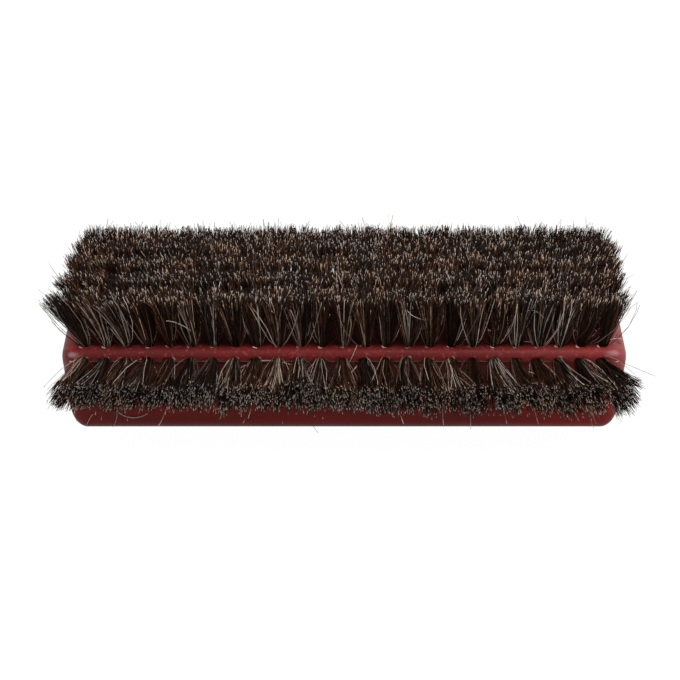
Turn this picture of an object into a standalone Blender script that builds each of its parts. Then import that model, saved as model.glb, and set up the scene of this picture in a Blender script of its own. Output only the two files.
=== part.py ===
"""Pool table brush: a drilled wooden block, five rows of upright horsehair tufts
and one row of level rail tufts, each rail tuft held by its own wire anchor.

Metres. The block lies on its flat back at z = 0 and is centred on x = 0, y = 0.
+X runs along the block, +Z is the way the upright tufts point, and the rail tufts
point along -Y.
"""

import math

import bmesh
import bpy
from mathutils import Vector

# Wooden block
block_length = 0.2306
block_width = 0.060
block_thickness = 0.0405
nose_radius = 0.0033
arris_angle = 30  # degrees below level at which the groove cuts the nose off
groove_radius = 0.009
groove_depth = 0.0065
groove_runout = 0.008  # over which the groove fades away before each end
shoulder_radius = 0.003
back_edge_radius = 0.007
end_round = 0.0068
end_taper = 0.0027  # how much shorter each end is at the back than at the face

# Upright tufts
row_count = 5
tufts_in_row = 25
bristle_length = 0.0254
hole_diameter = 0.004
row_edge_margin = 0.0055
field_end_margin = 0.0104
front_left_splay = 0.011
front_right_splay = 0.0055
inner_splay = 0.0025

# Rail tufts
rail_end_margin = 0.0108
rail_offset = -0.0009  # of the row's middle, from the block's middle
rail_bristle_length = 0.026
rail_bore_depth = 0.008
rail_drop_share = 0.45  # of the nose radius, below the nose's centre line
rail_left_splay = 0.0067
rail_right_splay = 0.011
rail_spread = 0.0044
rail_bend_reach = 0.006

# Locks of hair: each tuft shows as three
locks_in_tuft = 3
lock_sides = 3
lock_tip_radius = 0.0014
lock_clearance = 0.0002
tuft_turn = math.radians(137.5)
splay_fade_share = 0.82  # of a tuft's splay that the next tuft inwards has

# Wire anchors of the rail tufts
wire_thickness = 0.0006
anchor_side_clearance = 0.0005
anchor_leg = 0.0024

# Fits and roundness
seat_gap = 0.0003
bore_web = 0.0005
cut_overrun = 0.002
nose_steps = 8
groove_steps = 10
runout_steps = 5
shoulder_steps = 5
back_edge_steps = 6
end_steps = 6
bore_sides = 16
plug_sides = 10

half_length = block_length / 2
half_width = block_width / 2
hole_radius = hole_diameter / 2
row_pitch = (block_width - 2 * row_edge_margin) / (row_count - 1)
field_pitch = (block_length - 2 * field_end_margin) / (tufts_in_row - 1)
rail_pitch = (block_length - 2 * rail_end_margin) / (tufts_in_row - 1)

# The locks of a tuft lie side by side in its hole
packed_radius = (hole_radius - seat_gap) / (1 + 1 / math.sin(math.pi / locks_in_tuft))
lock_root_radius = packed_radius - lock_clearance
lock_root_offset = hole_radius - seat_gap - packed_radius

# The rail bores start low on the nose and run level into the block
nose_centre = Vector((0, nose_radius - half_width, block_thickness - nose_radius))
rail_drop = rail_drop_share * nose_radius
rail_mouth = nose_centre - Vector((0, math.sqrt(nose_radius**2 - rail_drop**2), rail_drop))
rail_out = Vector((0, -1, 0))

# The slices that carry the upright tufts stay clear above the rail bores
slice_width = hole_diameter
slice_length = (tufts_in_row - 1) * field_pitch + slice_width
bore_crown = rail_mouth.z + hole_radius
slice_depth = block_thickness - bore_crown - bore_web - seat_gap
lock_embed = slice_depth / 2


def clear_scene():
    for thing in list(bpy.data.objects):
        bpy.data.objects.remove(thing, do_unlink=True)


def finish(name, colour, roughness, metallic):
    material = bpy.data.materials.new(name)
    material.use_nodes = True
    shader = material.node_tree.nodes["Principled BSDF"]
    shader.inputs["Base Color"].default_value = (*colour, 1)
    shader.inputs["Roughness"].default_value = roughness
    shader.inputs["Metallic"].default_value = metallic
    return material


def add_object(name, mesh, material=None):
    thing = bpy.data.objects.new(name, mesh)
    bpy.context.scene.collection.objects.link(thing)
    if material:
        mesh.materials.append(material)
    return thing


def mesh_from(name, build):
    """A closed mesh with outward faces, from a function that fills a bmesh."""
    shape = bmesh.new()
    build(shape)
    bmesh.ops.recalc_face_normals(shape, faces=shape.faces)
    mesh = bpy.data.meshes.new(name)
    shape.to_mesh(mesh)
    shape.free()
    return mesh


def helper(name, mesh):
    """A cutter or a joining shape, which isn't a piece of the brush."""
    thing = add_object(name, mesh)
    thing.hide_render = True
    thing.display_type = "WIRE"
    return thing


def boolean(thing, other, operation):
    modifier = thing.modifiers.new(other.name, "BOOLEAN")
    modifier.operation = operation
    modifier.object = other
    modifier.solver = "EXACT"


def skin(shape, rings):
    """Joins rings of equal size, in order, and closes both ends."""
    rows = [[shape.verts.new(point) for point in ring] for ring in rings]
    for low, high in zip(rows, rows[1:]):
        for i in range(len(low)):
            j = (i + 1) % len(low)
            shape.faces.new((low[i], low[j], high[j], high[i]))
    shape.faces.new(rows[0])
    shape.faces.new(rows[-1])


def ring(centre, along, across, radius, sides, turn=0):
    """Points of a regular polygon round centre, in the plane of the two directions."""
    angles = [turn + 2 * math.pi * i / sides for i in range(sides)]
    return [centre + radius * (math.cos(a) * along + math.sin(a) * across) for a in angles]


def box(shape, low, high):
    corners = [(low.x, low.y), (high.x, low.y), (high.x, high.y), (low.x, high.y)]
    skin(shape, [[Vector((x, y, z)) for x, y in corners] for z in (low.z, high.z)])


def arc(centre_y, centre_z, radius, start, end, steps):
    """Points of an arc, by its angle up from +Y, in degrees."""
    angles = [math.radians(start + (end - start) * i / steps) for i in range(steps + 1)]
    return [(centre_y + radius * math.cos(a), centre_z + radius * math.sin(a)) for a in angles]


def side_profile():
    """The +Y side of the block's section, top to bottom, as (y, z): the nose, the finger
    groove that cuts it off at an arris, the shoulder and the rounded back edge."""
    nose = arc(half_width - nose_radius, nose_centre.z, nose_radius, 90, -arris_angle, nose_steps)
    arris_y, arris_z = nose[-1]
    groove_y = half_width - groove_depth + groove_radius
    groove_z = arris_z - math.sqrt(groove_radius**2 - (groove_y - arris_y) ** 2)
    shoulder_y = half_width - shoulder_radius
    shoulder_z = groove_z - math.sqrt(
        (shoulder_radius + groove_radius) ** 2 - (groove_y - shoulder_y) ** 2
    )
    groove_start = math.degrees(math.atan2(arris_z - groove_z, arris_y - groove_y))
    shoulder_start = math.degrees(math.atan2(groove_z - shoulder_z, groove_y - shoulder_y))
    groove = arc(groove_y, groove_z, groove_radius, groove_start, 180 + shoulder_start, groove_steps)
    shoulder = arc(shoulder_y, shoulder_z, shoulder_radius, shoulder_start, 0, shoulder_steps)
    back_y = half_width - back_edge_radius
    back = arc(back_y, back_edge_radius, back_edge_radius, 0, -90, back_edge_steps)
    return nose + groove[1:] + shoulder[1:] + back


def filled_profile():
    """The same points where the groove has run out, on a plain upright side."""
    return [
        (half_width if back_edge_radius < z < nose_centre.z else y, z) for y, z in side_profile()
    ]


def kept_length(z):
    """The share of the block's length that is left at a height, by the taper of its ends."""
    return 1 - end_taper / half_length * (1 - z / block_thickness)


def end_inset(x):
    """How far the section has shrunk on every side, by the rounding of the block's ends."""
    into = min(max(abs(x) - half_length + end_round, 0), end_round)
    return end_round - math.sqrt(end_round**2 - into**2)


def groove_share(x):
    """1 along the grip and 0 from where the rounding of the ends begins."""
    share = (half_length - end_round - abs(x)) / groove_runout
    share = min(max(share, 0), 1)
    return share**2 * (3 - 2 * share)


def section(x):
    """The block's section at a place along it, as (y, z)."""
    middle = block_thickness / 2
    inset = end_inset(x)
    wide = (half_width - inset) / half_width
    tall = (middle - inset) / middle
    share = groove_share(x)
    right = [
        (grooved * share + filled * (1 - share), z)
        for (grooved, z), (filled, _) in zip(side_profile(), filled_profile())
    ]
    left = [(-y, z) for y, z in reversed(right)]
    return [(y * wide, middle + (z - middle) * tall) for y, z in right + left]


def block_rings():
    """Sections along the block. Towards each end they shrink along a quarter circle."""
    runout = [groove_runout * (i / runout_steps - 1) for i in range(runout_steps)]
    rounding = [end_round * math.sin(math.pi / 2 * i / end_steps) for i in range(end_steps + 1)]
    stations = [half_length - end_round + step for step in runout + rounding]
    stations = [-x for x in reversed(stations)] + stations
    return [[Vector((x * kept_length(z), y, z)) for y, z in section(x)] for x in stations]


def row_y(row):
    """Row 0 is the front one, next to the rail tufts."""
    return row_edge_margin - half_width + row * row_pitch


def slice_box(shape, row, gap, overrun):
    """The strip of backing that carries one row, or its trench when given a gap."""
    reach = Vector((slice_length / 2 + gap, slice_width / 2 + gap, 0))
    centre = Vector((0, row_y(row), block_thickness))
    box(shape, centre - reach - Vector((0, 0, slice_depth + gap)), centre + reach + Vector((0, 0, overrun)))


def fill_trenches(shape):
    for row in range(row_count):
        slice_box(shape, row, seat_gap, cut_overrun)


def field_x(tuft):
    return field_end_margin - half_length + tuft * field_pitch


def rail_x(tuft):
    return rail_offset + rail_end_margin - half_length + tuft * rail_pitch


def splay(tuft, left, right):
    """How far a tuft's tips lean along X: outwards at both ends, less further in."""
    after = tufts_in_row - 1 - tuft
    return right * splay_fade_share**after - left * splay_fade_share**tuft


def lock(shape, points, radii, along, across, turn):
    rings = [ring(p, along, across, r, lock_sides, turn) for p, r in zip(points, radii)]
    skin(shape, rings)


def field_tuft(shape, row, tuft):
    """Three locks that start close together in the hole and fan out to their cut tips."""
    left = inner_splay if row else front_left_splay
    right = inner_splay if row else front_right_splay
    root = Vector((field_x(tuft), row_y(row), block_thickness))
    lean = Vector((splay(tuft, left, right), 0, 0))
    along, across = Vector((1, 0, 0)), Vector((0, 1, 0))
    room = lock_tip_radius + lock_clearance
    for i in range(locks_in_tuft):
        turn = tuft_turn * (tuft + row) + 2 * math.pi * i / locks_in_tuft
        out = Vector((math.cos(turn), math.sin(turn), 0))
        spread = Vector((out.x * (field_pitch / 2 - room), out.y * (row_pitch / 2 - room), 0))
        start = root + out * lock_root_offset
        tip = root + lean + spread + Vector((0, 0, bristle_length))
        sunk = start - Vector((0, 0, lock_embed))
        lock(shape, (sunk, tip), (lock_root_radius, lock_tip_radius), along, across, turn)


def make_field_row(row, hair):
    name = f"field_row_{row + 1}"
    thing = add_object(name, mesh_from(name, lambda shape: slice_box(shape, row, 0, 0)), hair)

    def fill(shape):
        for tuft in range(tufts_in_row):
            field_tuft(shape, row, tuft)

    boolean(thing, helper(f"{name}_locks", mesh_from(f"{name}_locks", fill)), "UNION")


def rail_point(tuft, depth):
    """A point on a rail bore's axis, at a depth in from its mouth."""
    return Vector((rail_x(tuft), 0, 0)) + rail_mouth - rail_out * depth


def rail_plane():
    """The two directions square to a rail bore."""
    along = Vector((1, 0, 0))
    return along, rail_out.cross(along)


def cylinder(shape, start, end, radius, sides):
    along, across = rail_plane()
    skin(shape, [ring(point, along, across, radius, sides) for point in (start, end)])


def fill_rail_bores(shape):
    for tuft in range(tufts_in_row):
        bottom = rail_point(tuft, rail_bore_depth)
        cylinder(shape, bottom, rail_point(tuft, -cut_overrun), hole_radius, bore_sides)


def anchor_outline(gap):
    """The anchor's outline in its own plane, as (along X, depth from the mouth)."""
    outer = hole_radius - anchor_side_clearance
    inner = outer - wire_thickness
    top = rail_bore_depth - seat_gap - wire_thickness
    end = rail_bore_depth + anchor_leg
    if gap:
        return [(-outer - gap, top), (outer + gap, top), (outer + gap, end + gap), (-outer - gap, end + gap)]
    under = top + wire_thickness
    return [
        (-outer, top),
        (outer, top),
        (outer, end),
        (inner, end),
        (inner, under),
        (-inner, under),
        (-inner, end),
        (-outer, end),
    ]


def anchor_solid(shape, tuft, gap):
    across = rail_plane()[1]
    half = wire_thickness / 2 + gap
    rings = []
    for side in (-half, half):
        rings.append(
            [rail_point(tuft, depth) + Vector((x, 0, 0)) + across * side for x, depth in anchor_outline(gap)]
        )
    skin(shape, rings)


def fill_anchor_slots(shape):
    for tuft in range(tufts_in_row):
        anchor_solid(shape, tuft, seat_gap)


def make_rail_anchor(tuft, wire):
    name = f"rail_anchor_{tuft + 1:02d}"
    add_object(name, mesh_from(name, lambda shape: anchor_solid(shape, tuft, 0)), wire)


def rail_locks(shape, tuft):
    """Three locks that leave the bore side by side, then fan out to their cut tips."""
    along, across = rail_plane()
    lean = splay(tuft, rail_left_splay, rail_right_splay)
    mouth = rail_point(tuft, 0)
    room = lock_tip_radius + lock_clearance
    for i in range(locks_in_tuft):
        turn = tuft_turn * tuft + 2 * math.pi * i / locks_in_tuft
        out = along * math.cos(turn) + across * math.sin(turn)
        root = mouth + out * lock_root_offset
        spread = Vector((math.cos(turn) * (rail_pitch / 2 - room), 0, math.sin(turn) * rail_spread))
        tip = mouth + spread + Vector((lean, 0, 0))
        tip.y = -half_width - rail_bristle_length
        bend_share = rail_bend_reach / rail_bristle_length
        bend = root + rail_out * rail_bend_reach
        bend.x += (tip.x - root.x) * bend_share
        bend.z += (spread.z - (root.z - mouth.z)) * bend_share
        radii = [lock_root_radius, lock_root_radius, lock_tip_radius]
        radii[1] += (lock_tip_radius - lock_root_radius) * bend_share
        lock(shape, (root - rail_out * lock_embed, bend, tip), radii, along, across, turn)


def make_rail_tuft(tuft, hair):
    """The folded root fills the bore, and the locks grow out of it."""
    name = f"rail_tuft_{tuft + 1:02d}"
    inner = rail_point(tuft, rail_bore_depth - wire_thickness - 2 * seat_gap)

    def fill_root(shape):
        cylinder(shape, inner, rail_point(tuft, 0), hole_radius - seat_gap, plug_sides)

    thing = add_object(name, mesh_from(name, fill_root), hair)
    locks = mesh_from(f"{name}_locks", lambda shape: rail_locks(shape, tuft))
    boolean(thing, helper(f"{name}_locks", locks), "UNION")


def make_block(lacquer):
    mesh = mesh_from("wood_block", lambda shape: skin(shape, block_rings()))
    block = add_object("wood_block", mesh, lacquer)
    mesh.shade_smooth()
    mesh.set_sharp_from_angle(angle=math.radians(40))
    boolean(block, helper("trench_cutter", mesh_from("trench_cutter", fill_trenches)), "DIFFERENCE")
    boolean(block, helper("bore_cutter", mesh_from("bore_cutter", fill_rail_bores)), "DIFFERENCE")
    boolean(block, helper("slot_cutter", mesh_from("slot_cutter", fill_anchor_slots)), "DIFFERENCE")


def main():
    clear_scene()
    lacquer = finish("red_lacquered_wood", (0.105, 0.013, 0.012), 0.38, 0)
    hair = finish("horsehair", (0.030, 0.019, 0.014), 0.55, 0)
    wire = finish("anchor_wire", (0.45, 0.44, 0.42), 0.35, 1)
    make_block(lacquer)
    for row in range(row_count):
        make_field_row(row, hair)
    for tuft in range(tufts_in_row):
        make_rail_tuft(tuft, hair)
        make_rail_anchor(tuft, wire)


main()
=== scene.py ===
"""The looks of the pool table brush: lacquered block, horsehair tufts, light and camera."""

import math
from dataclasses import dataclass

import bmesh
import bpy
import numpy as np
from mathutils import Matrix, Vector


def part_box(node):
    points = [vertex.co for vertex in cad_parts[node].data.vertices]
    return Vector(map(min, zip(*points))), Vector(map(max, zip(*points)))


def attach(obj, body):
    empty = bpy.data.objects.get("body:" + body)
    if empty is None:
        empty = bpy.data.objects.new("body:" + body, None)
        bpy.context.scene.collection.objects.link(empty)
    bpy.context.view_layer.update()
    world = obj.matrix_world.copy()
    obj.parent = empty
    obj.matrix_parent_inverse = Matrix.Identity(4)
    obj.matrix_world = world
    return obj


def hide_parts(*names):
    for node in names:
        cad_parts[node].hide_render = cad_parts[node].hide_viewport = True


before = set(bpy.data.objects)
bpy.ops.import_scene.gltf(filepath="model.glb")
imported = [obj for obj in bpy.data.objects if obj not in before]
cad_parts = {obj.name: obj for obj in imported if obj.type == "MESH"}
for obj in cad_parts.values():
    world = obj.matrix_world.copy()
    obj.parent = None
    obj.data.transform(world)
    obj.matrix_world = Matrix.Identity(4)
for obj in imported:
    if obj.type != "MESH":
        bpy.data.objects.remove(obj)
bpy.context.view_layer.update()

# The block, as in the frame
block_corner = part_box("wood_block")[1]
half_length = 0.1153
half_width = block_corner.y
thickness = block_corner.z
nose_radius = 0.0033
arris_angle = 30
groove_radius = 0.009
groove_depth = 0.0065
groove_runout = 0.008
shoulder_radius = 0.003
back_edge_radius = 0.007
end_round = 0.0068
end_taper = 0.0027
nose_steps = 24
groove_steps = 24
shoulder_steps = 8
back_edge_steps = 12
end_steps = 14
sharp_edge_angle = 35

# Holes and tufts
row_count = 5
tufts_in_row = 25
hole_radius = 0.002
hole_depth = 0.0018
hole_sides = 24
drill_overrun = 0.003
row_edge_margin = 0.0055
field_end_margin = 0.0104
rail_end_margin = 0.0108
rail_offset = -0.0009
bristle_length = 0.0254
rail_bristle_length = 0.026
rail_bore_depth = 0.008
rail_drop_share = 0.45
field_start = field_end_margin - half_length
rail_span = 2 * (half_length - rail_end_margin)
rail_start = rail_offset - rail_span / 2
row_pitch = 2 * (half_width - row_edge_margin) / (row_count - 1)
field_pitch = -2 * field_start / (tufts_in_row - 1)
rail_pitch = rail_span / (tufts_in_row - 1)
rail_drop = rail_drop_share * nose_radius
rail_mouth = Vector((
    0,
    nose_radius - half_width - math.sqrt(nose_radius**2 - rail_drop**2),
    thickness - nose_radius - rail_drop,
))
rightwards = Vector((1, 0, 0))
backwards = Vector((0, 1, 0))
upwards = Vector((0, 0, 1))
rail_out = Vector((0, -1, 0))
arris_side = half_width - nose_radius * (1 - math.cos(math.radians(arris_angle)))
arris_height = thickness - nose_radius * (1 + math.sin(math.radians(arris_angle)))

# Chips in the lacquer at the mouths of the holes: the angles between which they lie, in
# degrees from the right towards the back, or on the nose towards the top, and their radius
face_chips = (212, 248, 0.0010)
nose_chips = (15, 65, 0.0011)
chip_reach = (0.0005, 0.0011)  # beyond the hole
chip_depths = (0.0002, 0.0004)
chip_roughness = 0.2
chip_seed = 7

# How far the tips of each row stand beside their holes: to the left at the left end,
# to the right at the right end, and to the back
row_leans = (
    (0.0102, 0.0043, -0.0006),
    (0.0066, 0.0038, 0.0011),
    (0.0042, 0.0034, 0.0017),
    (0.0020, 0.0028, 0.0007),
    (-0.0006, 0.0016, -0.0028),
)
rail_splay = (0.0067, 0.0090)
rail_sag = 0.0021  # of the tips, at the right end
splay_fade = 0.82  # share of a tuft's splay that the next tuft inwards has
inner_fade = 0.85  # the same behind the front row
rail_gape = 0.35  # how much taller the last tuft at the right fans out
sway = 0.0012  # how far a tuft in the front or rail row may lean more or less
inner_sway = 0.0005  # the same in the rows behind the front one
back_sway = 0.0005  # the same to the front and back
tip_unevenness = 0.0002  # how much higher or lower the tips of a tuft stand
rail_tip_unevenness = 0.0004

# Painted sheens, pale highlights on the nose at both ends, and dark knocks on the right end of the
# block:
# place and radius, and for a sheen how strong it is
nose_sheens = (
    ((-0.1113, -0.0299, 0.0388), 0.0020, 0.6),
    ((0.1098, -0.0296, 0.0397), 0.0020, 0.45),
)
sheen_stretch = (0.35, 1, 1)
knocks = (((0.1113, -0.0167, 0.0402), 0.0010), ((0.1117, -0.0222, 0.0399), 0.0015))

# Where the lacquer changes its colour: the start and end of each change, along an axis or
# away from the arris
nose_fade = (arris_height - 0.0001, arris_height + 0.0003)
under_nose_fade = (thickness - nose_radius, thickness - nose_radius * 0.4)
crown_fade = (thickness - nose_radius * 0.5, thickness - nose_radius * 0.1)
front_fade = (0.004 - half_width, 0.012 - half_width)
groove_fade = (back_edge_radius + 0.006, back_edge_radius + 0.012)
groove_end_fade = (half_length - 0.016, half_length - 0.008)
bottom_fade = (0.001, 0.006)
upper_fade = (thickness * 0.5, thickness * 0.85)
rightward_fade = (0.04, 0.1)
left_half_fade = (0.03, 0.09)
right_end_fade = (half_length - 0.012, half_length - 0.002)
left_end_fade = (0.003 - half_length, 0.009 - half_length)
arris_fade = (0.0002, 0.0005)
tufted_side_fade = (
    half_width - row_edge_margin - 0.0008,
    half_width - row_edge_margin + 0.0026,
)
tufted_end_fade = (-field_start - 0.001, -field_start + 0.004)
face_fade = (thickness - 0.002, thickness - 0.0005)

# Hair
hair_sides = 3
hair_radius_low = 0.00008
hair_radius_high = 0.00013
pale_thickening = 0.1
hair_taper = 0.1
hair_seed = 20
locks_in_tuft = 9
lock_scatter = 0.0005  # of the tips of the locks
hair_scatter = 0.0007  # of the tips of the hairs in a lock
packing_gap = 0.0002  # between the hairs and the wall of their hole
hair_foot = 0.0016  # how deep in its hole a hair starts
hair_bow = 0.0003  # how far the middle of a hair bows aside
wild_bow = 4  # how much further that of a wild hair does
least_short = 0.01  # share of its length that a short hair lacks at least
long_share = 0.001  # share of hairs that stand out beyond the tips
long_by = (0.01, 0.04)
own_spread = 0.9  # how far a lock's hairs part at the tips; 1 fills the gaps between locks
roundness = 0.3  # of a tuft's outline at the tips, 0 for a square and 1 for a disc
narrowest = 0.0001  # least square of the disc's half width, so that it can be divided by
flare_scatter = 0.2
least_flare = 0.8
bow_scale = 27 / 4  # brings the greatest value of t**2 * (1 - t) to 1
bend_power = 6  # how late along a hair its last bend starts
guide_limit = 0.7  # how far sideways a hair may head and still take its rings' guide from +X
map_margin = 0.1  # round a hair in its cell of the map
map_sides = 0.9  # how high its sides reach there, with its two ends above them

# Tones of the hair, from 0 for black to 1 for nearly white. Dark hairs come first, then brown
# ones and pale ones, and each start is the share of hairs before it
dark_tone = 0.46
dark_power = 1.5  # more than 1 makes the darkest ones common
brown_tones = (0.38, 0.68)
brown_start = 0.78
wild_brown_start = 0.5
pale_tones = (0.82, 0.98)
pale_start = 0.965
wild_pale_start = 0.8
pale_limit = 0.7  # the tone above which a hair looks thicker
lock_variety = 0.25  # how far the locks of a tuft differ in tone and in warmth
tip_shade = 0.45  # painted shade: share of the tone that the other hairs keep at their tips
glint_tip_tones = (0.85, 1.0)
glint_cut_tones = (0.6, 1)  # how pale the cut ends of those hairs are, partly their own colour and partly a painted glint
plain_cut = 0.05
warmth_mean = 0.68  # from 0 for grey to 1 for brown
warmth_scatter = 0.2
tuft_variety = 0.26  # how far tufts differ in warmth


@dataclass
class Habit:
    """How the hairs of a tuft stand."""

    count: int
    stations: tuple  # where each hair has a ring, from root to tip
    knee: float  # share of its length that a tuft keeps to its hole's line
    spread: tuple  # half the width and depth of the tips
    flare: float  # 1 fans straight from the hole, more keeps the foot narrow
    wild: float  # share of hairs that cross the others
    ragged: float  # mean shortfall of the tips
    short: float  # share of hairs that end well below the tips
    shortest: float  # and the share of their length that they lack at most
    bend: float  # how far the last stretch of a hair turns aside
    cross: float  # how far a wild hair's tip strays
    glint_tipped: float  # share of hairs with pale tips, partly their own colour and partly a painted glint
    dust: float  # how far the tips lose their brown


front_habit = Habit(
    count=430,
    stations=(0, 0.34, 0.64, 0.9, 1),
    knee=0.14,
    spread=(0.0056, 0.0048),
    flare=2.2,
    wild=0.11,
    ragged=0.0007,
    short=0.1,
    shortest=0.3,
    bend=0.0007,
    cross=0.0038,
    glint_tipped=0.15,
    dust=0,
)
inner_habit = Habit(
    count=385,
    stations=(0, 0.5, 0.86, 1),
    knee=0.5,
    spread=(0.0056, 0.0051),
    flare=1.35,
    wild=0.06,
    ragged=0.0010,
    short=0.08,
    shortest=0.3,
    bend=0.0006,
    cross=0.0034,
    glint_tipped=0.12,
    dust=0,
)
rail_habit = Habit(
    count=560,
    stations=(0, 0.34, 0.64, 0.95, 1),
    knee=0.14,
    spread=(0.0058, 0.0062),
    flare=2.0,
    wild=0.09,
    ragged=0.0004,
    short=0.05,
    shortest=0.15,
    bend=0.0006,
    cross=0.0026,
    glint_tipped=0.28,
    dust=0.4,
)

# Hairs that have come loose and lie on the brush: one end, the point that draws the middle
# aside, the other end, all in millimetres
loose_paths = (
    ((-92.5, -30.6, 10.7), (-87.2, -30.6, 6.0), (-80.6, -30.6, 10.4)),
    ((-103.2, -30.6, 10.2), (-105.2, -30.6, 7.4), (-106.5, -30.6, 3.6)),
    ((-93.3, -30.6, 10.2), (-93.6, -30.6, 6.4), (-95.4, -30.6, 3.6)),
    ((5.2, -26.5, 41.6), (4.1, -31.5, 41.0), (1.1, -31.6, 34.2)),
    ((-43.4, -31.2, 32.5), (-32.7, -31.2, 41.1), (-19.1, -31.2, 34.0)),
    ((107.9, -21.8, 40.9), (111.0, -20.1, 40.9), (113.8, -20.3, 40.2)),
    ((25.0, -28.5, 59.6), (26.4, -28.5, 55.9), (33.4, -28.5, 54.6)),
    ((72.0, -28.5, 58.9), (76.0, -28.5, 61.0), (79.7, -28.5, 55.7)),
    ((71.7, -22.8, 41.0), (75.5, -23.2, 41.0), (78.4, -25.0, 41.0)),
    ((-71.2, -28.5, 54.4), (-66.6, -28.5, 54.4), (-61.4, -28.5, 49.6)),
    ((5.1, -37.0, 38.4), (-2.1, -37.0, 27.7), (-6.1, -37.0, 28.7)),
    ((73.4, -40.0, 37.6), (79.6, -40.0, 36.2), (83.7, -40.0, 32.5)),
)
loose_radius = 0.00018
loose_taper = 0.4
loose_rings = 9
loose_tones = (0.85, 1.0)
loose_warmths = (0.5, 1.0)

# Camera, fitted to the photo
camera_elevation = math.radians(33.5)
camera_distance = 0.833
camera_focal_pixels = 1987
image_pixels = 680
sensor_width = 36
aim = Vector((-0.0017, 0, 0.0264))

# Floor and light
floor_reach = 6.0
floor_grey = 0.4
floor_faint_grey = 0.07
floor_glow = 0.98
world_strength = 0.65
softbox_size = (0.7, 0.5)
softbox_energy = 7
softbox_place = Vector((0.3, -0.3, 1.1))


class Signal:
    """A number, colour or vector in a node tree, on which sums can be written."""

    def __init__(self, nodes, socket):
        self.nodes = nodes
        self.socket = socket

    def math(self, operation, *values, clamp=False):
        settings = {"operation": operation, "use_clamp": clamp}
        return self.nodes.node("ShaderNodeMath", settings, dict(enumerate(values)))

    def __add__(self, other):
        return self.math("ADD", self, other)

    def __radd__(self, other):
        return self.math("ADD", other, self)

    def __sub__(self, other):
        return self.math("SUBTRACT", self, other)

    def __rsub__(self, other):
        return self.math("SUBTRACT", other, self)

    def __mul__(self, other):
        return self.math("MULTIPLY", self, other)

    def __rmul__(self, other):
        return self.math("MULTIPLY", other, self)

    def size(self):
        return self.math("ABSOLUTE", self)

    def larger(self, other):
        return self.math("MAXIMUM", self, other)

    def clamped(self):
        return self.math("ADD", self, 0, clamp=True)

    def band(self, start, end):
        """0 below start, 1 above end, smooth between."""
        settings = {"interpolation_type": "SMOOTHSTEP"}
        return self.nodes.node("ShaderNodeMapRange", settings, {0: self, 1: start, 2: end})


class Nodes:
    """The nodes of a material or of the world."""

    def __init__(self, tree):
        self.tree = tree

    def feed(self, slot, value):
        if isinstance(value, Signal):
            self.tree.links.new(value.socket, slot)
        elif isinstance(value, (tuple, list)) and len(value) == 3 and slot.type == "RGBA":
            slot.default_value = (*value, 1)
        else:
            slot.default_value = value

    def node(self, kind, settings=None, inputs=None, output=0):
        node = self.tree.nodes.new(kind)
        for name, value in (settings or {}).items():
            if name == "stops":
                self.set_stops(node.color_ramp, value)
            else:
                setattr(node, name, value)
        for name, value in (inputs or {}).items():
            self.feed(node.inputs[name], value)
        return Signal(self, node.outputs[output])

    def set_stops(self, ramp, stops):
        while len(ramp.elements) < len(stops):
            ramp.elements.new(1)
        for element, (place, colour) in zip(ramp.elements, stops):
            element.position = place
            element.color = (*colour, 1)

    def outputs(self, signal, names):
        """More outputs of the node that gives a signal."""
        return [Signal(self, signal.socket.node.outputs[name]) for name in names]

    def direct_view(self):
        """1 where the camera, glass or gloss looks, 0 for the light that falls on the brush."""
        names = ("Is Camera Ray", "Is Transmission Ray", "Is Glossy Ray")
        camera, glass, gloss = self.outputs(self.node("ShaderNodeLightPath"), names)
        return camera.larger(glass).larger(gloss)

    def choose(self, factor, first, second):
        """One of two shaders."""
        return self.node("ShaderNodeMixShader", None, {0: factor, 1: first, 2: second})


class Finish(Nodes):
    """A material: a Principled shader and the nodes that feed it."""

    def __init__(self, name):
        self.material = bpy.data.materials.new(name)
        self.material.use_nodes = True
        super().__init__(self.material.node_tree)
        self.shader = self.tree.nodes["Principled BSDF"]

    def place(self, stretch=(1, 1, 1)):
        """Object coordinates, stretched."""
        where = self.node("ShaderNodeTexCoord", output="Object")
        return self.node("ShaderNodeMapping", None, {"Vector": where, "Scale": stretch})

    def noise(self, scale, detail=3, stretch=(1, 1, 1)):
        inputs = {"Vector": self.place(stretch), "Scale": scale, "Detail": detail}
        return self.node("ShaderNodeTexNoise", None, inputs)

    def axes(self):
        """The three object coordinates."""
        return self.outputs(self.node("ShaderNodeSeparateXYZ", None, {0: self.place()}), range(3))

    def distance(self, spot, stretch=(1, 1, 1)):
        """How far the material is from a spot; a stretch under 1 draws the spot out."""
        inputs = {0: self.place(stretch), 1: [p * s for p, s in zip(spot, stretch)]}
        return self.node("ShaderNodeVectorMath", {"operation": "DISTANCE"}, inputs, 1)

    def attribute(self, name):
        return self.node("ShaderNodeAttribute", {"attribute_name": name}, output="Fac")

    def ramp(self, factor, stops):
        return self.node("ShaderNodeValToRGB", {"stops": stops}, {"Fac": factor})

    def mix(self, factor, first, second):
        inputs = {0: factor, 6: first, 7: second}
        return self.node("ShaderNodeMix", {"data_type": "RGBA"}, inputs, output=2)

    def bump(self, height, strength, distance):
        inputs = {"Height": height, "Strength": strength, "Distance": distance}
        return self.node("ShaderNodeBump", None, inputs)

    def set(self, **sockets):
        for name, value in sockets.items():
            self.feed(self.shader.inputs[name.replace("_", " ")], value)
        return self.material


def srgb(red, green, blue):
    """A colour as a screen shows it, 0 to 255, in the linear values that a shader takes."""
    shares = [c / 255 for c in (red, green, blue)]
    return tuple(s / 12.92 if s <= 0.04045 else ((s + 0.055) / 1.055) ** 2.4 for s in shares)


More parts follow.
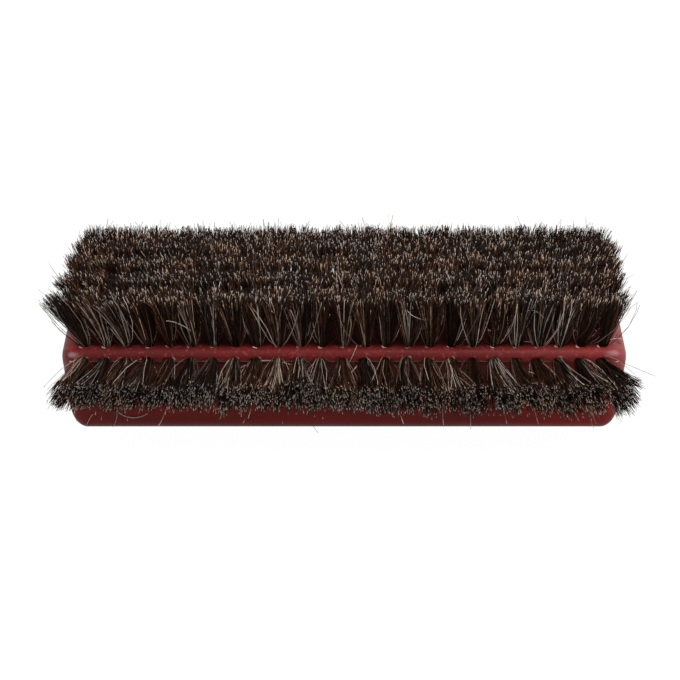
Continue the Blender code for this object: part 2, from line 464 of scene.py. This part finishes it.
def lacquered_wood():
    finish = Finish("red_lacquered_wood")
    grain = finish.noise(220, 4, (0.06, 1, 1))
    cloud = finish.noise(45, 2)
    speckle = finish.noise(2600, 1)
    red = finish.ramp(grain, [(0.3, srgb(96, 24, 20)), (0.7, srgb(124, 30, 25))])
    red = finish.mix(cloud.band(0.35, 0.75) * 0.4, red, srgb(100, 31, 28))
    red = finish.mix(speckle.band(0.6, 0.74) * 0.35, red, srgb(150, 74, 68))
    along, across, up = finish.axes()
    aside = across.size()

    # Painted light on the nose: a brighter ridge where the lamp catches it, brighter still on its
    # underside, which faces away from the lamp
    nose = up.band(*nose_fade)
    red = finish.mix(nose * (0.4 + 0.3 * cloud), red, srgb(146, 36, 30))
    # painted light: lifts the underside of the nose, which the lamp leaves darker
    under = nose * (1 - up.band(*under_nose_fade))
    red = finish.mix(under * 0.3, red, srgb(170, 44, 42))

    # Painted shade in the groove under the rail tufts and along the back, less towards the right,
    # where the light comes from; painted light on the front towards the right
    front = (1 - nose) * (1 - across.band(*front_fade))
    # painted shade: the rail tufts' shadow in the groove, on the front only
    groove = front * up.band(*groove_fade)
    groove = groove * (1 - along.size().band(*groove_end_fade))
    rightward = along.band(*rightward_fade)
    red = finish.mix(groove * (0.75 - 0.35 * rightward), red, srgb(44, 13, 16))
    # painted shade, darker towards the bottom edge
    bottom = 1 - up.band(*bottom_fade)
    red = finish.mix(bottom * (0.6 - 0.25 * rightward), red, srgb(36, 12, 16))
    # painted light from the right on the front
    red = finish.mix(front * rightward * 0.35, red, srgb(170, 44, 40))

    # Painted sheen on the upper part of both ends, pink at the right one and pale at the left one,
    # and knocks at the right end
    upper = up.band(*upper_fade)
    right_end_sheen = along.band(*right_end_fade) * upper
    red = finish.mix(right_end_sheen * (0.15 + 0.5 * cloud), red, srgb(182, 112, 110))
    left_end = 1 - along.band(*left_end_fade)
    crown = up.band(*crown_fade)
    left_end_sheen = left_end * upper * (1 - crown) * (0.1 + 0.55 * cloud)
    red = finish.mix(left_end_sheen, red, srgb(140, 92, 104))
    for knock, size in knocks:
        near = 1 - finish.distance(knock).band(size * 0.5, size)
        red = finish.mix(near * 0.8, red, srgb(48, 18, 22))

    # Dull patches and pale flecks on the nose, painted shade on its left half, painted light towards
    # the right, a painted highlight on the crown of the left end and painted sheens near both ends
    dull = finish.noise(28, 2).band(0.38, 0.62)
    red = finish.mix(nose * dull * 0.5, red, srgb(96, 30, 30))
    # painted shade on the left half of the nose, away from the light
    left_half_shade = 1 - along.band(*left_half_fade)
    red = finish.mix(nose * left_half_shade * 0.46, red, srgb(84, 30, 30))
    # painted light from the right on the nose
    red = finish.mix(nose * rightward * 0.07, red, srgb(200, 120, 120))
    fleck = finish.noise(700, 2).band(0.55, 0.7)
    red = finish.mix(nose * fleck * 0.42, red, srgb(186, 84, 84))
    # painted highlight on the crown of the left end
    red = finish.mix(left_end * crown * 0.6, red, srgb(158, 32, 34))
    # painted sheens: pale highlights near both ends of the nose
    for sheen_spot, size, strength in nose_sheens:
        near = 1 - finish.distance(sheen_spot, sheen_stretch).band(size * 0.2, size)
        red = finish.mix(near * strength, red, srgb(206, 160, 166))

    # Worn lacquer and a painted highlight along the arris, and painted shade between the tufts
    off_arris = (up - arris_height).size() + (aside - arris_side).size()
    arris_wear_and_highlight = (1 - off_arris.band(*arris_fade)) * finish.noise(160, 3).band(0.38, 0.55)
    red = finish.mix(arris_wear_and_highlight, red, srgb(255, 190, 176))
    # painted shade on the face between the tufts, where their hair keeps the light off
    among = 1 - aside.band(*tufted_side_fade)
    among = among * (1 - along.size().band(*tufted_end_fade))
    among = among * up.band(*face_fade)
    red = finish.mix(among * 0.85, red, srgb(26, 9, 10))

    height = grain * 0.4 + speckle * 0.3 + finish.noise(90, 2) * 3
    return finish.set(
        Base_Color=red,
        Roughness=0.46 + 0.12 * cloud,
        Specular_IOR_Level=0.12,
        Coat_Weight=0.04,
        Coat_Roughness=0.25,
        Normal=finish.bump(height, 0.2, 0.0002),
    )


def raw_wood():
    finish = Finish("raw_wood_rim")
    fibre = finish.noise(1500, 3, (1, 1, 0.3))
    tan = finish.ramp(fibre, [(0.3, srgb(232, 190, 176)), (0.7, srgb(255, 236, 226))])
    return finish.set(Base_Color=tan, Roughness=0.8, Normal=finish.bump(fibre, 0.5, 0.0002))


def horsehair():
    finish = Finish("horsehair")
    tone = finish.attribute("tone")
    patch = finish.noise(60, 3)
    shade = (tone * (0.75 + 0.45 * patch)).clamped()
    cool = finish.ramp(
        shade,
        [
            (0.0, srgb(19, 16, 15)),
            (0.3, srgb(38, 29, 25)),
            (0.6, srgb(92, 76, 67)),
            (1.0, srgb(255, 248, 240)),
        ],
    )
    warm = finish.ramp(
        shade,
        [
            (0.0, srgb(25, 18, 16)),
            (0.3, srgb(59, 37, 27)),
            (0.6, srgb(128, 81, 53)),
            (1.0, srgb(255, 226, 200)),
        ],
    )
    warmth = (finish.attribute("warmth") + (patch - 0.5) * 1.2).clamped()
    colour = finish.mix(warmth, cool, warm)
    # pale cut ends: partly their own colour, partly a painted glint
    colour = finish.mix(finish.attribute("cut") * 0.9, colour, srgb(255, 248, 238))
    return finish.set(Base_Color=colour, Roughness=0.28 + 0.15 * patch, Specular_IOR_Level=0.05)


def skin(shape, rings):
    """Joins rings of equal size, in order, and closes both ends."""
    rows = [[shape.verts.new(point) for point in ring] for ring in rings]
    for near, far in zip(rows, rows[1:]):
        for i in range(len(near)):
            j = (i + 1) % len(near)
            shape.faces.new((near[i], near[j], far[j], far[i]))
    shape.faces.new(rows[0])
    shape.faces.new(rows[-1])


def mesh_from(name, build, materials, index=0):
    shape = bmesh.new()
    build(shape)
    bmesh.ops.recalc_face_normals(shape, faces=shape.faces)
    for face in shape.faces:
        face.material_index = index
    mesh = bpy.data.meshes.new(name)
    shape.to_mesh(mesh)
    shape.free()
    for material in materials:
        mesh.materials.append(material)
    return mesh


def add_object(name, data):
    thing = bpy.data.objects.new(name, data)
    bpy.context.scene.collection.objects.link(thing)
    return thing


def arc(centre_y, centre_z, radius, start, end, steps):
    """Points of an arc, by its angle up from +Y, in degrees."""
    angles = [math.radians(start + (end - start) * i / steps) for i in range(steps + 1)]
    return [(centre_y + radius * math.cos(a), centre_z + radius * math.sin(a)) for a in angles]


def side_profile():
    """The +Y side of the block's section, from the face down to the back."""
    nose_z = thickness - nose_radius
    nose = arc(half_width - nose_radius, nose_z, nose_radius, 90, -arris_angle, nose_steps)
    arris_y, arris_z = nose[-1]
    groove_y = half_width - groove_depth + groove_radius
    groove_z = arris_z - math.sqrt(groove_radius**2 - (groove_y - arris_y) ** 2)
    shoulder_y = half_width - shoulder_radius
    shoulder_z = groove_z - math.sqrt(
        (shoulder_radius + groove_radius) ** 2 - (groove_y - shoulder_y) ** 2
    )
    groove_start = math.degrees(math.atan2(arris_z - groove_z, arris_y - groove_y))
    shoulder_start = math.degrees(math.atan2(groove_z - shoulder_z, groove_y - shoulder_y))
    groove_end = 180 + shoulder_start
    groove = arc(groove_y, groove_z, groove_radius, groove_start, groove_end, groove_steps)
    shoulder = arc(shoulder_y, shoulder_z, shoulder_radius, shoulder_start, 0, shoulder_steps)
    back_y = half_width - back_edge_radius
    back = arc(back_y, back_edge_radius, back_edge_radius, 0, -90, back_edge_steps)
    return nose + groove[1:] + shoulder[1:] + back


def section(x):
    """The block's section at a place along it. The groove runs out before the rounded end."""
    into = min(max(abs(x) - half_length + end_round, 0), end_round)
    inset = end_round - math.sqrt(end_round**2 - into**2)
    middle = thickness / 2
    wide = (half_width - inset) / half_width
    tall = (middle - inset) / middle
    share = min(max((half_length - end_round - abs(x)) / groove_runout, 0), 1)
    share = share**2 * (3 - 2 * share)
    right = []
    for y, z in side_profile():
        filled = half_width if back_edge_radius < z < thickness - nose_radius else y
        right.append((y * share + filled * (1 - share), z))
    left = [(-y, z) for y, z in reversed(right)]
    return [(y * wide, middle + (z - middle) * tall) for y, z in right + left]


def block_rings():
    steps = end_steps
    runout = [groove_runout * (i / steps - 1) for i in range(steps)]
    rounding = [end_round * math.sin(math.pi / 2 * i / steps) for i in range(steps + 1)]
    stations = [half_length - end_round + step for step in runout + rounding]
    stations = [-x for x in reversed(stations)] + stations
    rings = []
    for x in stations:
        points = section(x)
        kept = [1 - end_taper / half_length * (1 - z / thickness) for y, z in points]
        rings.append([Vector((x * k, y, z)) for k, (y, z) in zip(kept, points)])
    return rings


def field_roots():
    """The mouths of the holes in the face, row by row from the front."""
    return [
        [
            Vector((
                field_start + tuft * field_pitch,
                row_edge_margin - half_width + row * row_pitch,
                thickness,
            ))
            for tuft in range(tufts_in_row)
        ]
        for row in range(row_count)
    ]


def rail_roots():
    """The mouths of the bores in the nose, left to right."""
    return [
        rail_mouth + Vector((rail_start + tuft * rail_pitch, 0, 0))
        for tuft in range(tufts_in_row)
    ]


def drill(shape, mouth, out, depth, radius, rough=0, rng=None):
    """A drill's path from above a mouth down into the wood."""
    across = out.cross(rightwards)
    radii = [radius * (1 + (rng.uniform(-rough, rough) if rough else 0)) for _ in range(hole_sides)]
    angles = [2 * math.pi * i / hole_sides for i in range(hole_sides)]
    offsets = [r * (math.cos(a) * rightwards + math.sin(a) * across) for r, a in zip(radii, angles)]
    skin(shape, [[mouth + out * h + o for o in offsets] for h in (-depth, drill_overrun)])


def fill_holes(shape):
    for row in field_roots():
        for mouth in row:
            drill(shape, mouth, upwards, hole_depth, hole_radius)
    for mouth in rail_roots():
        drill(shape, mouth, rail_out, rail_bore_depth, hole_radius)


def fill_chips(shape):
    """Where the drill tore the lacquer: front left of the upright holes, top right of the bores."""
    rng = np.random.default_rng(chip_seed)
    holes = [(mouth, upwards, *face_chips) for row in field_roots() for mouth in row]
    bores = [(mouth, rail_out, *nose_chips) for mouth in rail_roots()]
    for mouth, out, first, last, radius in holes + bores:
        turn = math.radians(rng.uniform(first, last))
        aside = rightwards * math.cos(turn) + out.cross(rightwards) * math.sin(turn)
        beyond = hole_radius + rng.uniform(*chip_reach) - radius
        depth = rng.uniform(*chip_depths)
        drill(shape, mouth + aside * beyond, out, depth, radius, chip_roughness, rng)


def make_block():
    finishes = [lacquered_wood(), raw_wood()]
    block = add_object("block", mesh_from("block", lambda s: skin(s, block_rings()), finishes))
    for name, fill in (("chips", fill_chips), ("holes", fill_holes)):
        cutter = add_object(name, mesh_from(name, fill, finishes, 1))
        modifier = block.modifiers.new(name, "BOOLEAN")
        modifier.operation = "DIFFERENCE"
        modifier.solver = "EXACT"
        modifier.object = cutter
        bpy.context.view_layer.objects.active = block
        with bpy.context.temp_override(object=block, active_object=block):
            bpy.ops.object.modifier_apply(modifier=name)
        bpy.data.objects.remove(cutter)
    block.data.shade_smooth()
    block.data.set_sharp_from_angle(angle=math.radians(sharp_edge_angle))
    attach(block, "root")
    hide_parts("wood_block")


def bezier(start, middle, end, t):
    """Points on a curved centre line; start, middle and end are (n, 3), t is (n, m)."""
    t = t[..., None]
    return (1 - t) ** 2 * start[:, None] + 2 * t * (1 - t) * middle[:, None] + t**2 * end[:, None]


def disc(rng, count):
    radius = np.sqrt(rng.uniform(0, 1, count))
    turn = rng.uniform(0, 2 * math.pi, count)
    return np.stack([radius * np.cos(turn), radius * np.sin(turn)], 1)


def squared(points):
    """Spreads points of a disc most of the way out to the square round it."""
    x, y = points.T
    wide = x / np.sqrt(np.maximum(1 - y**2, narrowest))
    tall = 2 / math.pi * (y * np.sqrt(1 - y**2) + np.arcsin(y))
    return points * roundness + np.stack([wide, tall], 1) * (1 - roundness)


def hair_paths(rng, root, out, sides, tip, habit, wider):
    """The points of a tuft's hairs (count, rings, 3), the lock of each, and which are wild.

    They start packed in the hole, leave along out, and fan out round tip."""
    count = habit.count
    spread = np.array(habit.spread) * wider
    lock_root = disc(rng, locks_in_tuft)
    lock_tip = squared(lock_root) * spread + rng.normal(0, lock_scatter, (locks_in_tuft, 2))
    lock_bend = rng.normal(0, habit.bend, (locks_in_tuft, 2))
    own = disc(rng, count)
    lock = np.argmin(((own[:, None] - lock_root[None]) ** 2).sum(2), 1)
    start = own * (hole_radius - packing_gap)
    end = lock_tip[lock] + (squared(own) - squared(lock_root)[lock]) * spread * own_spread
    end = end + rng.normal(0, hair_scatter, (count, 2))
    wild = rng.uniform(0, 1, count) < habit.wild
    end[wild] += rng.normal(0, habit.cross, (wild.sum(), 2))
    length = (tip - root).length
    cut = 1 - rng.exponential(habit.ragged, count) / length
    short = rng.uniform(0, 1, count) < habit.short
    cut[short] -= rng.uniform(least_short, habit.shortest, short.sum())
    long = rng.uniform(0, 1, count) < long_share
    cut[long] += rng.uniform(*long_by, long.sum())
    t = np.array(habit.stations)[None] * cut[:, None]
    ones = np.ones((count, 1))
    foot = root - out * hair_foot
    knee = root + out * length * habit.knee
    centre = bezier(ones * np.array(foot), ones * np.array(knee), ones * np.array(tip), t)
    flare = rng.normal(habit.flare, flare_scatter, count).clip(least_flare)
    fan = t ** np.where(wild, 1, flare)[:, None]
    bow = rng.normal(0, hair_bow, (count, 2))
    bow[wild] *= wild_bow
    bend = lock_bend[lock] + rng.normal(0, habit.bend, (count, 2))
    near = start[:, None] * (1 - fan[..., None])
    far = end[:, None] * fan[..., None] + bow[:, None] * (bow_scale * t**2 * (1 - t))[..., None]
    far = far + bend[:, None] * (t**bend_power)[..., None]
    heading = (tip - root).normalized()
    tilted = [(side - heading * heading.dot(side)).normalized() for side in sides]
    return centre + near @ np.array(sides) + far @ np.array(tilted), lock, wild


def hair_looks(rng, habit, lock, wild):
    """The radii, tones, warmths and cut ends of a tuft's hairs."""
    count = habit.count
    rings = len(habit.stations)
    tone = tones_of(rng, count, wild) * (1 + rng.normal(0, lock_variety, locks_in_tuft)[lock])
    tones = np.repeat(tone[:, None], rings, 1)
    # pale tips: partly their own colour, partly a painted glint; the other tips darker, as painted
    # shade
    glint_tipped = rng.uniform(0, 1, count) < habit.glint_tipped
    tones[:, -1] = np.where(glint_tipped, rng.uniform(*glint_tip_tones, count), tone * tip_shade)
    warmth = rng.normal(warmth_mean, warmth_scatter, count)
    warmth = warmth + rng.normal(0, lock_variety, locks_in_tuft)[lock]
    warmth = warmth + rng.normal(0, tuft_variety)
    warmths = np.repeat(warmth[:, None], rings, 1)
    warmths[:, -1] *= 1 - habit.dust
    thicker = 1 + pale_thickening * (tone > pale_limit)
    radius = rng.uniform(hair_radius_low, hair_radius_high, count) * thicker
    taper = 1 - hair_taper * np.array(habit.stations)
    ends = np.where(glint_tipped, rng.uniform(*glint_cut_tones, count), plain_cut)
    return radius[:, None] * taper, np.clip(tones, 0, 1), np.clip(warmths, 0, 1), ends


def grow(rng, root, out, sides, tip, habit, wider=(1, 1)):
    """One tuft: the points of its hairs, their radii, tones, warmths and cut ends."""
    points, lock, wild = hair_paths(rng, root, out, sides, tip, habit, wider)
    return points, *hair_looks(rng, habit, lock, wild)


def tones_of(rng, count, wild):
    """Mostly dark hair, some brown, a few pale; more pale ones among the wild hairs."""
    kind = rng.uniform(0, 1, count)
    tone = dark_tone * rng.uniform(0, 1, count) ** dark_power
    brown = kind > np.where(wild, wild_brown_start, brown_start)
    tone[brown] = rng.uniform(*brown_tones, brown.sum())
    pale = kind > np.where(wild, wild_pale_start, pale_start)
    tone[pale] = rng.uniform(*pale_tones, pale.sum())
    return tone


def hair_mesh(name, points, radii, tones, warmths, ends, material):
    """Thin closed tubes round the hairs' points, each with its tone and its place on the map."""
    count, rings, _ = points.shape
    heading = points[:, -1] - points[:, 0]
    heading /= np.linalg.norm(heading, axis=1, keepdims=True)
    guide = np.where(np.abs(heading[:, :1]) < guide_limit, [[1.0, 0, 0]], [[0, 1.0, 0]])
    first = np.cross(heading, guide)
    first /= np.linalg.norm(first, axis=1, keepdims=True)
    second = np.cross(heading, first)
    angle = 2 * math.pi * np.arange(hair_sides) / hair_sides
    cosine = np.cos(angle)[None, :, None]
    sine = np.sin(angle)[None, :, None]
    around = cosine * first[:, None] + sine * second[:, None]
    verts = points[:, :, None] + radii[:, :, None, None] * around[:, None]
    i = np.arange(hair_sides)
    j = (i + 1) % hair_sides
    level = hair_sides * np.arange(rings - 1)[:, None]
    quads = np.stack([level + i, level + j, level + hair_sides + j, level + hair_sides + i], -1)
    quads = quads.reshape(-1, 4)
    caps = np.array([i[::-1], hair_sides * (rings - 1) + i])
    base = (np.arange(count) * rings * hair_sides)[:, None, None]
    side_faces = (quads[None] + base).reshape(-1, 4).tolist()
    cap_faces = (caps[None] + base).reshape(-1, 3).tolist()
    mesh = bpy.data.meshes.new(name)
    mesh.from_pydata(verts.reshape(-1, 3).tolist(), [], side_faces + cap_faces)
    mesh.materials.append(material)
    store(mesh, "tone", "POINT", np.repeat(tones, hair_sides))
    store(mesh, "warmth", "POINT", np.repeat(warmths, hair_sides))
    store(mesh, "cut", "FACE", np.concatenate([np.zeros(len(side_faces)), np.repeat(ends, 2)]))
    map_hairs(mesh, count, rings)
    mesh.shade_smooth()
    return mesh


def store(mesh, label, domain, values):
    attribute = mesh.attributes.new(label, "FLOAT", domain)
    attribute.data.foreach_set("value", values.astype(np.float32))


def map_hairs(mesh, count, rings):
    """Lays each hair in its own cell of the map, root at the bottom."""
    columns = math.ceil(math.sqrt(count))
    i = np.arange(hair_sides)[None, :, None]
    level = np.arange(rings - 1)[:, None, None]
    right = np.array([0, 1, 1, 0])[None, None]
    up = np.array([0, 0, 1, 1])[None, None]
    side_u = ((i + right) / hair_sides + 0 * level).reshape(-1)
    side_v = ((level + up) / (rings - 1) * map_sides + 0 * i).reshape(-1)
    sides = np.stack([side_u, side_v], 1)
    caps = np.array([[0, 0.94], [0.1, 0.94], [0, 0.98], [0.5, 0.94], [0.6, 0.94], [0.5, 0.98]])
    cell = np.arange(count)
    corner = np.stack([cell % columns, cell // columns], 1)[:, None]
    filled = 1 - 2 * map_margin
    laid = [(corner + map_margin + filled * shape[None]) / columns for shape in (sides, caps)]
    uv = np.concatenate([part.reshape(-1, 2) for part in laid])
    mesh.uv_layers.new(name="OFBake").data.foreach_set("uv", uv.astype(np.float32).reshape(-1))


def splay(tuft, left, right, fade=splay_fade):
    """How far a tuft leans to the right: less from tuft to tuft, seen from either end."""
    return right * fade ** (tufts_in_row - 1 - tuft) - left * fade**tuft


def reach(length, lean):
    """How far a tuft of this length gets along its hole's line, once it leans."""
    return math.sqrt(length**2 - lean**2)


def dress(name, tufts, material, node):
    values = [np.concatenate(parts) for parts in zip(*tufts)]
    thing = add_object(name, hair_mesh(name, *values, material))
    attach(thing, "root")
    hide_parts(node)


def make_field(material):
    rng = np.random.default_rng(hair_seed)
    sides = (rightwards, backwards)
    for row, roots in enumerate(field_roots()):
        left, right, back = row_leans[row]
        habit = inner_habit if row else front_habit
        fade, stray = (inner_fade, inner_sway) if row else (splay_fade, sway)
        tufts = []
        for tuft, root in enumerate(roots):
            lean = splay(tuft, left, right, fade) + rng.normal(0, stray)
            rise = reach(bristle_length, lean) + rng.normal(0, tip_unevenness)
            tip = root + Vector((lean, back + rng.normal(0, back_sway), rise))
            tufts.append(grow(rng, root, upwards, sides, tip, habit))
        if row:
            dress(f"field_hair_row_{row + 1}", tufts, material, f"field_row_{row + 1}")
        else:
            for tuft, grown in enumerate(tufts):
                dress(f"front_hair_{tuft + 1:02d}", [grown], material, "field_row_1")


def make_rail(material):
    rng = np.random.default_rng(hair_seed + 1)
    sides = (rightwards, upwards)
    for tuft, root in enumerate(rail_roots()):
        lean = splay(tuft, *rail_splay) + rng.normal(0, sway)
        away = reach(rail_bristle_length, lean)
        drop = rail_sag * tuft / (tufts_in_row - 1) + rng.normal(0, rail_tip_unevenness)
        tip = Vector((root.x + lean, -half_width - away, root.z - drop))
        open_up = 1 + rail_gape * splay_fade ** (tufts_in_row - 1 - tuft)
        grown = grow(rng, root, rail_out, sides, tip, rail_habit, (1, open_up))
        dress(f"rail_hair_{tuft + 1:02d}", [grown], material, f"rail_tuft_{tuft + 1:02d}")


def make_loose_hairs(material):
    rng = np.random.default_rng(hair_seed + 2)
    count = len(loose_paths)
    starts, middles, ends = (np.array(points) / 1000 for points in zip(*loose_paths))
    t = np.tile(np.linspace(0, 1, loose_rings), (count, 1))
    points = bezier(starts, middles, ends, t)
    radii = np.full(t.shape, loose_radius) * (1 - loose_taper * t)
    tones = np.repeat(rng.uniform(*loose_tones, (count, 1)), loose_rings, 1)
    warmths = np.repeat(rng.uniform(*loose_warmths, (count, 1)), loose_rings, 1)
    mesh = hair_mesh("loose_hairs", points, radii, tones, warmths, np.zeros(count), material)
    thing = add_object("loose_hairs", mesh)
    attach(thing, "root")


def polish_anchors():
    finish = Finish("anchor_wire_bright")
    drawn = finish.noise(4000, 2, (0.1, 1, 1))
    steel = finish.ramp(drawn, [(0.3, srgb(150, 148, 144)), (0.7, srgb(196, 195, 190))])
    wire = finish.set(Base_Color=steel, Metallic=1.0, Roughness=0.28 + 0.15 * drawn)
    for name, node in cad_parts.items():
        if name.startswith("rail_anchor"):
            node.data.materials.clear()
            node.data.materials.append(wire)


def make_camera():
    data = bpy.data.cameras.new("camera")
    data.sensor_width = sensor_width
    data.lens = sensor_width * camera_focal_pixels / image_pixels
    camera = add_object("camera", data)
    back = Vector((0, -math.cos(camera_elevation), math.sin(camera_elevation)))
    camera.location = aim + back * camera_distance
    camera.rotation_euler = back.to_track_quat("Z", "Y").to_euler()
    bpy.context.scene.camera = camera


def make_floor():
    """Seen white, with the brush's shadow; the light that it throws back is that of a grey floor."""
    finish = Finish("floor")
    grey = finish.node("ShaderNodeBsdfDiffuse", None, {"Color": [floor_grey] * 3})
    faint = finish.node("ShaderNodeBsdfDiffuse", None, {"Color": [floor_faint_grey] * 3})
    glow = finish.node("ShaderNodeEmission", None, {"Strength": floor_glow})
    white = finish.node("ShaderNodeAddShader", None, {0: faint, 1: glow})
    chosen = finish.choose(finish.direct_view(), grey, white)
    finish.feed(finish.tree.nodes["Material Output"].inputs["Surface"], chosen)
    corners = [(-1, -1), (1, -1), (1, 1), (-1, 1)]
    shape = bmesh.new()
    shape.faces.new([shape.verts.new((x * floor_reach, y * floor_reach, 0)) for x, y in corners])
    mesh = bpy.data.meshes.new("floor")
    shape.to_mesh(mesh)
    shape.free()
    mesh.materials.append(finish.material)
    add_object("floor", mesh)


def make_light():
    """An even world, seen white, and one softbox."""
    world = bpy.data.worlds.new("studio")
    bpy.context.scene.world = world
    world.use_nodes = True
    nodes = Nodes(world.node_tree)
    background = nodes.tree.nodes["Background"]
    nodes.feed(background.inputs["Color"], (1, 1, 1))
    nodes.feed(background.inputs["Strength"], world_strength)
    even = Signal(nodes, background.outputs[0])
    white = nodes.node("ShaderNodeBackground", None, {"Color": (1, 1, 1), "Strength": 1})
    chosen = nodes.choose(nodes.direct_view(), even, white)
    nodes.feed(nodes.tree.nodes["World Output"].inputs["Surface"], chosen)
    lamp = bpy.data.lights.new("softbox", "AREA")
    lamp.shape = "RECTANGLE"
    lamp.size, lamp.size_y = softbox_size
    lamp.energy = softbox_energy
    box = add_object("softbox", lamp)
    box.location = softbox_place
    box.rotation_euler = (softbox_place - aim).to_track_quat("Z", "Y").to_euler()


make_camera()
make_block()
hair = horsehair()
make_field(hair)
make_rail(hair)
make_loose_hairs(hair)
polish_anchors()
make_floor()
make_light()
bpy.context.scene.view_settings.view_transform = "Standard"
